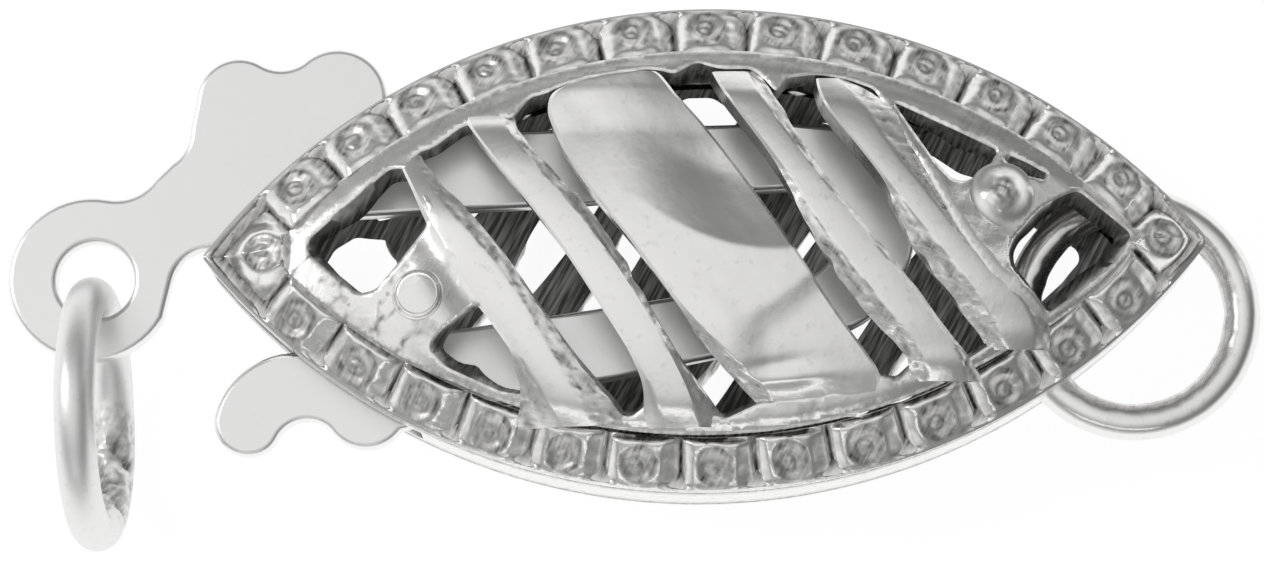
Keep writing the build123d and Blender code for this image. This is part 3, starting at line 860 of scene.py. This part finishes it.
def bar_mesh(shape, name, face):
    """Closed mesh of a bar or of the band, skinned over its sections from top to bottom."""
    rows = faired(BARS[name])
    bm, painted_shade_and_stain = new_mesh()
    sections = []
    for k in range(BAR_ROWS + 1):
        row = smooth_row(rows, k / BAR_ROWS)
        sections.append((row, bar_section(shape, name, row)))
    widest = max(len(section) for _, section in sections)
    for _, section in sections:
        while len(section) < widest:
            section.insert(1, section[1])
    for line, column, vert in grid_points(bm, widest, BAR_ROWS):
        row, section = sections[line]
        y = row[0]
        x, z, recess, cast, lowered = section[column % widest]
        if name == "middle_band" and not lowered:
            z += band_wave(x, y) + TOP_UNEVEN * soft_noise(x, y, 0, 0.30, 50)
        if cast:
            streak = soft_noise((x + 0.55 * y) * 3.0, y * 0.8, 0, 0.30, 7)
            speck = smooth_step(0.15, 0.50, soft_noise(x, y, 0, 0.10, 17))
            z += cast * (STREAK * streak + GRAIN * soft_noise(x, y, 0, 0.09, 27) - PIT * speck)
            recess = cast * min(1.0, 0.12 + 0.45 * smooth_step(0.0, 0.5, streak) + 0.35 * speck)
        place = Vector((x, y, z))
        # Painted shade: the lowered underside of each bar is darkened, by at least 0.4
        if lowered:
            place -= shape.dome_normal(x, y) * (shape.sheet + shape.lift * 0.5)
            recess = max(0.4, INSIDE_SHADE[face])
        else:
            place.z += TOP_UNEVEN * soft_noise(x, y, 0, 0.7, 13)
        vert.co = place
        vert[painted_shade_and_stain] = recess
    join_doubles(bm)
    bmesh.ops.holes_fill(bm, edges=bm.edges[:], sides=0)
    face_outwards(bm)
    return bm


PASSAGE_HEIGHT = 0.76
PASSAGE_TIP = 0.20
PASSAGE_ENDS = {1: -5.15, -1: -4.95}

# Just past the lower passage the wall is thin, to leave room for the hook inside it
THIN_FROM, THIN_TO, THINNED = -5.30, -4.25, 0.22

# Heights of the wall's rows of points, before they are stretched to the height of the rim
WALL_ROWS = (-0.95, -0.90, -0.82, -0.79, -0.76, -0.38, 0.0, 0.38, 0.76, 0.79, 0.82, 0.90, 0.95)
WALL_TOP = 0.95
WALL_COLUMN_STEP = 6
WALL_SEAM = 0.79
SEAM_DEPTH = 0.03


def wall_mesh(shape):
    """Side wall, with the two passages of the hook left open at the left tip."""
    stations = shape.stations()[::WALL_COLUMN_STEP]
    count = len(stations)
    bm, painted_shade_and_stain = new_mesh()
    for row, column, vert in grid_points(bm, count, len(WALL_ROWS) - 1):
        outer, inner = stations[column % count]
        if abs(WALL_ROWS[row]) == WALL_SEAM:
            outer = outer + (inner - outer).normalized() * SEAM_DEPTH
        vert.co = (outer.x, outer.y, WALL_ROWS[row] * shape.rim / WALL_TOP)
    join_doubles(bm)
    gone = []
    for face in bm.faces:
        middle = face.calc_center_median()
        side = 1 if middle.y > 0 else -1
        low = abs(middle.z) < PASSAGE_HEIGHT / 2
        if low and abs(middle.y) > PASSAGE_TIP and middle.x < PASSAGE_ENDS[side]:
            gone.append(face)
    bmesh.ops.delete(bm, geom=gone, context="FACES")
    face_outwards(bm)
    bmesh.ops.solidify(bm, geom=bm.faces[:], thickness=shape.wall)
    for vert in bm.verts:
        inside = shape.edge_distance(vert.co.x, vert.co.y) > shape.wall * 0.6
        seam = smooth_step(0.06, 0.01, abs(abs(vert.co.z) - WALL_SEAM * shape.rim / WALL_TOP))
        # Painted shade: the inner face of the wall is darkened fully, as the inside of the case lies in
        # shade
        vert[painted_shade_and_stain] = 1.0 if inside else 0.05 + 0.75 * seam
        beside_hook = vert.co.y < 0 and abs(vert.co.z) < PASSAGE_HEIGHT / 2 + 0.01
        if inside and beside_hook and THIN_FROM < vert.co.x < THIN_TO:
            vert.co += Vector((vert.co.x, vert.co.y - shape.offset, 0)).normalized() * THINNED
    face_outwards(bm)
    return bm


def ring_mesh(radius, wire, segments, sides, shape_wire=None):
    """Wire ring in the XY plane, spun from one round section."""
    bm, painted_shade_and_stain = new_mesh()
    section = bmesh.ops.create_circle(bm, cap_ends=False, segments=sides, radius=wire)
    bmesh.ops.rotate(bm, verts=section["verts"], matrix=Matrix.Rotation(math.pi / 2, 3, "X"))
    bmesh.ops.translate(bm, verts=section["verts"], vec=(radius, 0, 0))
    spin_round(bm, segments)
    if shape_wire:
        for vert in bm.verts:
            angle = math.atan2(vert.co.y, vert.co.x)
            spine = Vector((radius * math.cos(angle), radius * math.sin(angle), 0))
            away = vert.co - spine
            grow, recess = shape_wire(angle, vert.co)
            vert.co = spine + away * grow
            vert[painted_shade_and_stain] = recess
    face_outwards(bm)
    return bm


def angle_gap(a, b):
    """Angle between two directions, from 0 to half a turn."""
    return abs((a - b + math.pi) % (2 * math.pi) - math.pi)


def jump_wire_shape(angle, point):
    """Plain wire, with a lump of solder on its rear limb, rough on the inner side."""
    near = 1 - smooth_step(0.25, 0.75, angle_gap(angle, SOLDER_ANGLE) / 1.3)
    inner = smooth_step(2.14, 1.92, math.hypot(point.x, point.y))
    rough = cast_height(point.x, point.y, SOLDER_CAST, point.z)
    plain = 1 + 0.015 * soft_noise(point.x, point.y, point.z, 0.7, 61)
    dark = 0.12 + inner * max(0.0, 0.25 - 2.4 * rough)
    return plain + near * (0.08 + inner * rough), near * dark


def end_wire_shape(angle, point):
    """Plain wire, a little uneven on its inner side."""
    inner = math.hypot(point.x, point.y) < 1.85
    grow = 1 + 0.015 * soft_noise(point.x, point.y, point.z, 0.6, 81)
    if inner:
        grow += 0.05 * soft_noise(point.x, point.y, point.z, 0.22, 82)
    # Painted shade: the inner side of the wire is darkened, as it faces into the ring
    return grow, 0.25 if inner else 0.0


SOLDER_ANGLE = math.radians(-33)
END_RING_PLACE = Vector((7.60, -1.08, -0.35))
JUMP_RING_PLACE = Vector((-10.83, -2.625, 0.035))
POST_PLACE = Vector((-7.78, 0.0, 0.0))
POST_RADIUS = 0.27
POST_HALF = 1.15

# Outline of the hook in plan, in millimetres: each row is the end of a straight edge, or a
# through point and the end of an arc
EYE_HOLE = (-10.81, -0.25, 0.69)
HOOK_START = (-8.85, 0.28)
HOOK_EDGE = [
    ("upper arm, inner edge", None, (-6.40, 0.80)),
    ("upper arm, inner edge", None, (-3.00, 0.94)),
    ("upper arm, inner edge", None, (1.50, 1.18)),
    ("inside of the bend", (2.38, 0.40), (1.64, -0.42)),
    ("lower arm, inner edge", None, (-2.70, -1.02)),
    ("lower arm, inner edge", None, (-7.37, -1.61)),
    ("lower finger tab, back", (-8.20, -1.93), (-8.69, -2.70)),
    ("lower finger tab, end", (-8.52, -3.26), (-8.02, -3.42)),
    ("lower finger tab, end", (-7.80, -3.35), (-7.60, -3.13)),
    ("lower finger tab, dip", (-7.10, -2.81), (-6.65, -2.99)),
    ("lower finger tab, lobe", (-6.05, -3.33), (-5.42, -3.02)),
    ("lower arm, outer edge", None, (-1.89, -2.22)),
    ("lower arm, outer edge", None, (2.585, -1.33)),
    ("outside of the bend", (3.74, 0.47), (2.45, 2.28)),
    ("upper arm, outer edge", None, (1.60, 2.38)),
    ("upper arm, outer edge", None, (-5.20, 2.31)),
    ("upper finger tab, foot", None, (-5.63, 2.80)),
    ("upper finger tab, first lobe", (-6.00, 3.70), (-7.10, 3.62)),
    ("upper finger tab, dip", (-7.48, 3.50), (-7.85, 3.60)),
    ("upper finger tab, second lobe", (-8.55, 3.66), (-9.00, 3.05)),
    ("upper finger tab, back", None, (-9.12, 2.45)),
    ("neck, outer edge", (-9.20, 2.10), (-9.45, 1.83)),
    ("neck, outer edge", None, (-9.75, 1.54)),
    ("neck, outer edge", (-10.15, 1.24), (-10.60, 1.21)),
    ("eye", (-12.355, -0.23), (-9.62, -0.95)),
    ("neck, inner edge", None, (-9.46, -0.25)),
    ("neck, inner edge", (-9.27, 0.08), HOOK_START),
]
ARC_STEP = math.radians(7)


def arc_points(start, through, end):
    """Points of the arc after start, up to and with end."""
    ax, ay = through[0] - start[0], through[1] - start[1]
    bx, by = end[0] - start[0], end[1] - start[1]
    cross = 2 * (ax * by - ay * bx)
    a2, b2 = ax * ax + ay * ay, bx * bx + by * by
    centre = Vector((start[0] + (by * a2 - ay * b2) / cross, start[1] + (ax * b2 - bx * a2) / cross))
    radius = math.hypot(start[0] - centre.x, start[1] - centre.y)
    first = math.atan2(start[1] - centre.y, start[0] - centre.x)
    last = math.atan2(end[1] - centre.y, end[0] - centre.x)
    turn = (last - first) % (2 * math.pi)
    if cross < 0:
        turn -= 2 * math.pi
    steps = max(2, math.ceil(abs(turn) / ARC_STEP))
    return [(centre.x + radius * math.cos(first + turn * k / steps),
             centre.y + radius * math.sin(first + turn * k / steps)) for k in range(1, steps + 1)]


def hook_mesh(thickness, soft_edge):
    """Flat plate with the eye's hole, its edges rounded."""
    bm, painted_shade_and_stain = new_mesh()
    points = []
    start = HOOK_START
    for _, through, end in HOOK_EDGE:
        points += [end] if through is None else arc_points(start, through, end)
        start = end
    outline = [bm.verts.new((x, y, 0)) for x, y in points]
    for k in range(len(outline)):
        bm.edges.new((outline[k - 1], outline[k]))
    hole = bmesh.ops.create_circle(bm, cap_ends=False, segments=64, radius=EYE_HOLE[2])
    bmesh.ops.translate(bm, verts=hole["verts"], vec=(EYE_HOLE[0], EYE_HOLE[1], 0))
    bmesh.ops.triangle_fill(bm, use_beauty=True, edges=bm.edges[:], normal=(0, 0, 1))
    grown = bmesh.ops.extrude_face_region(bm, geom=bm.faces[:], use_keep_orig=True)
    raised = [v for v in grown["geom"] if isinstance(v, bmesh.types.BMVert)]
    bmesh.ops.translate(bm, verts=bm.verts[:], vec=(0, 0, -thickness / 2))
    bmesh.ops.translate(bm, verts=raised, vec=(0, 0, thickness))
    face_outwards(bm)
    rims = [e for e in bm.edges if e.calc_face_angle(0) > math.radians(60)
            and abs(e.verts[0].co.z - e.verts[1].co.z) < 1e-6]
    bmesh.ops.bevel(bm, geom=rims, offset=soft_edge, segments=4, profile=0.5, affect="EDGES",
                    material=-1, clamp_overlap=False)
    for vert in bm.verts:
        vert[painted_shade_and_stain] = 0.0
    for edge in bm.edges:
        flat = [abs(face.normal.z) > 0.999 for face in edge.link_faces]
        edge.smooth = flat[0] == flat[-1]
    return bm


def turned_over(bm):
    """Turns a mesh end for end, as the back shell is."""
    bmesh.ops.rotate(bm, verts=bm.verts[:], cent=(0, 0, 0), matrix=Matrix.Rotation(math.pi, 3, "Y"))


def finish_mesh(name, bm, middle, material, body, node, sharp=40.0):
    """Puts a mesh in place and makes it a piece of the clasp."""
    for face in bm.faces:
        face.smooth = True
    for edge in bm.edges:
        edge.smooth = edge.smooth and edge.calc_face_angle(0) < math.radians(sharp)
    bmesh.ops.scale(bm, verts=bm.verts[:], vec=(MM, MM, MM))
    bmesh.ops.translate(bm, verts=bm.verts[:], vec=middle)
    mesh = bpy.data.meshes.new(name)
    bm.to_mesh(mesh)
    bm.free()
    mesh.materials.append(material)
    piece = bpy.data.objects.new(name, mesh)
    bpy.context.scene.collection.objects.link(piece)
    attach(piece, body)
    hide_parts(node)
    return piece


# Looks of the silver: sizes of its cloudiness and streaks in millimetres, how far the noise
# stains it, the range over which the painted shade and the stains turn dark, and the streaks worn bright
# in the dark
CLOUD_SIZE = 1.1
CLOUD_SHADE = 0.94
STREAK_TURN = math.radians(62)
STREAK_SIZE = (0.9, 0.06, 0.4)
STAIN_SHARE = 0.70
SHADE_AND_STAIN_RANGE = (0.05, 0.85)
WORN_RANGE = (0.40, 0.68, 0.0, 0.5)


def add_node(tree, kind, values, **settings):
    """Adds a shader node, makes its settings, and sets or links its inputs."""
    node = tree.nodes.new(f"ShaderNode{kind}")
    for key, value in settings.items():
        setattr(node, key, value)
    feed(tree, node, values)
    return node.outputs


def feed(tree, node, values):
    """Links each input that is given an output of another node, and sets the others."""
    for key, value in values.items():
        if isinstance(value, bpy.types.NodeSocket):
            tree.links.new(value, node.inputs[key])
        else:
            node.inputs[key].default_value = value


def map_range(tree, value, span):
    """Maps a value from the first two numbers of span to the others, which are 0 and 1 if left out."""
    names = ("From Min", "From Max", "To Min", "To Max")
    return add_node(tree, "MapRange", {**dict(zip(names, span)), "Value": value})["Result"]


def metal_material(name, bright, dark, smooth, rough, marks, marks_size, darkening_start=0.36):
    """Silver bright where it is polished, rough in the recesses, darkened by painted shade and stains."""
    found = bpy.data.materials.get(name)
    if found:
        return found
    material = bpy.data.materials.new(name)
    material.use_nodes = True
    tree = material.node_tree
    place = add_node(tree, "TexCoord", {})["Object"]
    recess = add_node(tree, "Attribute", {}, attribute_name="painted_shade_and_stain")["Fac"]

    cloud = add_node(tree, "TexNoise", {
        "Scale": 1 / (CLOUD_SIZE * MM), "Detail": 4, "Vector": place})["Fac"]
    fine = add_node(tree, "TexNoise", {
        "Scale": 1 / (marks_size * MM), "Detail": 6, "Vector": place})["Fac"]
    along = add_node(tree, "Mapping", {
        "Rotation": (0, 0, STREAK_TURN), "Scale": [size * MM for size in STREAK_SIZE],
        "Vector": place}, vector_type="TEXTURE")["Vector"]
    streak = add_node(tree, "TexNoise", {"Scale": 1, "Detail": 3, "Vector": along})["Fac"]

    # The darkening adds the painted shade of the layer to the noise of the stains
    offset = add_node(tree, "Math", {0: recess, 1: darkening_start}, operation="SUBTRACT")[0]
    stain = add_node(tree, "Math", {0: fine, 1: STAIN_SHARE, 2: offset}, operation="MULTIPLY_ADD")[0]
    depth = map_range(tree, stain, SHADE_AND_STAIN_RANGE)
    deep = add_node(tree, "Mix", {
        "A": (*dark, 1), "B": (*bright, 1), "Factor": map_range(tree, streak, WORN_RANGE)},
        data_type="RGBA")["Result"]
    tone = add_node(tree, "Mix", {
        "A": (*[c * CLOUD_SHADE for c in bright], 1), "B": (*bright, 1), "Factor": cloud},
        data_type="RGBA")["Result"]
    colour = add_node(tree, "Mix", {"A": tone, "B": deep, "Factor": depth}, data_type="RGBA")["Result"]
    polish = map_range(tree, cloud, (0, 1, smooth * 0.75, smooth * 1.35))
    grain = add_node(tree, "Mix", {"A": polish, "B": rough, "Factor": depth})["Result"]
    bump = add_node(tree, "Bump", {"Strength": 1.0, "Distance": marks * MM, "Height": fine})["Normal"]
    feed(tree, tree.nodes["Principled BSDF"], {
        "Metallic": 1.0, "Base Color": colour, "Roughness": grain, "Normal": bump})
    return material


def case_metal():
    """Polished silver of the case."""
    finish = bpy.context.scene.clasp_finish
    return metal_material("polished_silver", finish.polished, finish.recess, 0.20, 0.45, 0.004, 0.16)


def hook_metal():
    """Satin silver of the hook's sheet."""
    finish = bpy.context.scene.clasp_finish
    return metal_material("satin_silver", finish.satin, finish.recess, 0.30, 0.45, 0.003, 0.25, 0.43)


def ring_metal():
    """Silver of the jump ring's wire."""
    finish = bpy.context.scene.clasp_finish
    return metal_material("drawn_silver", finish.wire, finish.recess, 0.38, 0.50, 0.003, 0.14)


def case_shape():
    """Outline and domes in the sizes set in the panel."""
    return CaseShape(bpy.context.scene.clasp_case)


def finish_case_mesh(name, bm, sharp=40.0):
    """Makes a mesh a piece that stands for the case and stays with it."""
    return finish_mesh(name, bm, case_shape().middle, case_metal(), CASE_BODY, CASE_NODE,
                       sharp)


def front_and_back(name, build, sharp=40.0):
    """Adds a piece of the front shell and its copy on the back shell."""
    for face in ("front", "back"):
        bm = build(face)
        if face == "back":
            turned_over(bm)
        finish_case_mesh(f"{name}_{face}", bm, sharp)


class CLASP_OT_add_borders(bpy.types.Operator):
    """Add the sloped borders of square cells"""

    bl_idname = "clasp.add_borders"
    bl_label = "Add borders"

    def execute(self, context):
        front_and_back("border", lambda face: border_mesh(case_shape(), face), 60.0)
        return {"FINISHED"}


class CLASP_OT_add_frames(bpy.types.Operator):
    """Add the pierced frames with their webs and bosses"""

    bl_idname = "clasp.add_frames"
    bl_label = "Add frames"

    def execute(self, context):
        front_and_back("frame", lambda face: frame_mesh(case_shape(), face))
        for name in BOSSES:
            front_and_back(name, lambda face: boss_mesh(case_shape(), name))
        return {"FINISHED"}


class CLASP_OT_add_bars(bpy.types.Operator):
    """Add the raised bars and the wide band"""

    bl_idname = "clasp.add_bars"
    bl_label = "Add bars"

    def execute(self, context):
        for name in BARS:
            front_and_back(name, lambda face: bar_mesh(case_shape(), name, face), 24.0)
        return {"FINISHED"}


class CLASP_OT_add_wall(bpy.types.Operator):
    """Add the side wall and the catch post"""

    bl_idname = "clasp.add_wall"
    bl_label = "Add wall"

    def execute(self, context):
        shape = case_shape()
        finish_case_mesh("side_wall", wall_mesh(shape))
        post, _ = new_mesh()
        bmesh.ops.create_cone(post, cap_ends=True, segments=40, radius1=POST_RADIUS,
                              radius2=POST_RADIUS, depth=2 * POST_HALF)
        bmesh.ops.translate(post, verts=post.verts[:], vec=POST_PLACE)
        finish_case_mesh("catch_post", post)
        return {"FINISHED"}


class CLASP_OT_add_rings(bpy.types.Operator):
    """Add the end ring and the jump ring"""

    bl_idname = "clasp.add_rings"
    bl_label = "Add rings"

    def execute(self, context):
        sizes = context.scene.clasp_rings
        middle = case_shape().middle
        end = ring_mesh(in_mm(sizes.end_radius), in_mm(sizes.end_wire), 160, 32, end_wire_shape)
        bmesh.ops.translate(end, verts=end.verts[:], vec=END_RING_PLACE)
        finish_case_mesh("end_ring", end)
        jump = ring_mesh(in_mm(sizes.jump_radius), in_mm(sizes.jump_wire), 200, 36, jump_wire_shape)
        upright = Matrix.Rotation(-sizes.jump_lean, 3, "Y") @ Matrix.Rotation(math.pi / 2, 3, "Y")
        bmesh.ops.rotate(jump, verts=jump.verts[:], cent=(0, 0, 0), matrix=upright)
        bmesh.ops.translate(jump, verts=jump.verts[:], vec=JUMP_RING_PLACE)
        for vert in jump.verts:
            vert.co.z = max(vert.co.z, -in_mm(middle.z))
        finish_mesh("jump_ring_wire", jump, middle, ring_metal(), HOOK_BODY, RING_NODE)
        return {"FINISHED"}


class CLASP_OT_add_hook(bpy.types.Operator):
    """Add the flat hook"""

    bl_idname = "clasp.add_hook"
    bl_label = "Add hook"

    def execute(self, context):
        sizes = context.scene.clasp_hook
        bm = hook_mesh(in_mm(sizes.thickness), in_mm(sizes.soft_edge))
        finish_mesh("hook_sheet", bm, case_shape().middle, hook_metal(), HOOK_BODY, HOOK_NODE)
        return {"FINISHED"}


# Middle of the picture from the middle of the case, in millimetres
PICTURE_MIDDLE = Vector((-1.30, -0.60, 0.95))
FLOOR_HALF = 0.6
LIGHTS = [
    {"name": "key", "place": (-0.20, 0.06, 0.17), "size": (0.12, 0.16), "power": 0.13},
    {"name": "strip", "place": (-0.02, -0.22, 0.16), "size": (0.20, 0.03), "power": 0.025},
    {"name": "fill", "place": (0.20, 0.10, 0.12), "size": (0.03, 0.12), "power": 0.010},
]
FLOOR_GLOW = 0.89

# Brightness of the studio by height: share of straight up, and the light there
STUDIO_SKY = [(0.0, 0.88), (0.12, 0.76), (0.28, 0.42), (0.48, 0.26), (0.66, 0.32), (0.80, 0.52),
              (0.92, 0.78), (1.0, 0.87)]

# Share of straight up over which the sides begin to differ, and their light from left to right
SIDE_FADE = (0.05, 0.35)
SIDE_LIGHT = (-0.9, 0.9, 1.35, 0.60)


def studio_world():
    """Light tent: bright overhead, darker half way down, brighter on the left than on the right."""
    world = bpy.data.worlds.new("studio")
    world.use_nodes = True
    tree = world.node_tree
    place = add_node(tree, "TexCoord", {})["Generated"]
    parts = add_node(tree, "SeparateXYZ", {"Vector": place})
    sky = tree.nodes.new("ShaderNodeValToRGB")
    ramp = sky.color_ramp.elements
    while len(ramp) < len(STUDIO_SKY):
        ramp.new(0.5)
    for element, (spot, light) in zip(ramp, STUDIO_SKY):
        element.position = spot
        element.color = (light, light, light, 1)
    feed(tree, sky, {"Fac": parts["Z"]})
    above = map_range(tree, parts["Z"], SIDE_FADE)
    reach = add_node(tree, "Math", {0: parts["X"], 1: above}, operation="MULTIPLY")[0]
    side = map_range(tree, reach, SIDE_LIGHT)
    feed(tree, tree.nodes["Background"], {"Color": sky.outputs["Color"], "Strength": side})
    return world


def floor_material():
    """Pale floor that glows like a light table."""
    finish = bpy.context.scene.clasp_finish
    material = bpy.data.materials.new("pale_floor")
    material.use_nodes = True
    tree = material.node_tree
    feed(tree, tree.nodes["Principled BSDF"], {
        "Base Color": (*finish.floor, 1), "Roughness": 0.9, "Specular IOR Level": 0.1,
        "Emission Color": (1, 1, 1, 1), "Emission Strength": FLOOR_GLOW})
    return material


class CLASP_OT_set_stage(bpy.types.Operator):
    """Add the floor, the lights and the camera"""

    bl_idname = "clasp.set_stage"
    bl_label = "Set stage"

    def execute(self, context):
        scene = context.scene
        bm = bmesh.new()
        bmesh.ops.create_grid(bm, x_segments=1, y_segments=1, size=FLOOR_HALF)
        mesh = bpy.data.meshes.new("floor")
        bm.to_mesh(mesh)
        bm.free()
        mesh.materials.append(floor_material())
        floor = bpy.data.objects.new("floor", mesh)
        scene.collection.objects.link(floor)

        scene.world = studio_world()
        scene.view_settings.view_transform = "Standard"

        for row in LIGHTS:
            data = bpy.data.lights.new(row["name"], "AREA")
            data.shape = "RECTANGLE"
            data.size, data.size_y = row["size"]
            data.energy = row["power"]
            lamp = bpy.data.objects.new(row["name"], data)
            lamp.location = row["place"]
            lamp.rotation_euler = (-Vector(row["place"])).to_track_quat("-Z", "Y").to_euler()
            scene.collection.objects.link(lamp)

        studio = scene.clasp_studio
        target = case_shape().middle + PICTURE_MIDDLE * MM
        forward = Vector((0, math.sin(studio.tilt), -math.cos(studio.tilt)))
        data = bpy.data.cameras.new("camera")
        data.lens = studio.lens
        data.sensor_width = 36
        data.clip_start = 0.001
        camera = bpy.data.objects.new("camera", data)
        turn = Matrix.Rotation(studio.tilt, 3, "X") @ Matrix.Rotation(-studio.roll, 3, "Z")
        camera.location = target - forward * studio.distance
        camera.rotation_euler = turn.to_euler()
        scene.collection.objects.link(camera)
        scene.camera = camera
        return {"FINISHED"}


STEPS = (
    CLASP_OT_add_borders,
    CLASP_OT_add_frames,
    CLASP_OT_add_bars,
    CLASP_OT_add_wall,
    CLASP_OT_add_rings,
    CLASP_OT_add_hook,
    CLASP_OT_set_stage,
)


class CLASP_PT_pieces(bpy.types.Panel):
    """Sizes, colours and pieces of the clasp"""

    bl_label = "Fish hook clasp"
    bl_space_type = "VIEW_3D"
    bl_region_type = "UI"
    bl_category = "Clasp"

    def draw(self, context):
        layout = self.layout
        for name in GROUPS:
            box = layout.box()
            group = getattr(context.scene, name)
            for key in group.__annotations__:
                box.prop(group, key)
        for step in STEPS:
            layout.operator(step.bl_idname)


GROUPS = {
    "clasp_case": ClaspCaseSizes,
    "clasp_rings": ClaspRingSizes,
    "clasp_hook": ClaspHookSizes,
    "clasp_finish": ClaspFinish,
    "clasp_studio": ClaspStudio,
}
CLASSES = (*GROUPS.values(), *STEPS, CLASP_PT_pieces)


def register():
    for cls in CLASSES:
        bpy.utils.register_class(cls)
    for name, group in GROUPS.items():
        setattr(bpy.types.Scene, name, PointerProperty(type=group))


def unregister():
    for name in GROUPS:
        delattr(bpy.types.Scene, name)
    for cls in reversed(CLASSES):
        bpy.utils.unregister_class(cls)


def main():
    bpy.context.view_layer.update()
    register()
    for step in STEPS:
        group, name = step.bl_idname.split(".")
        getattr(getattr(bpy.ops, group), name)()


if __name__ == "__main__":
    main()
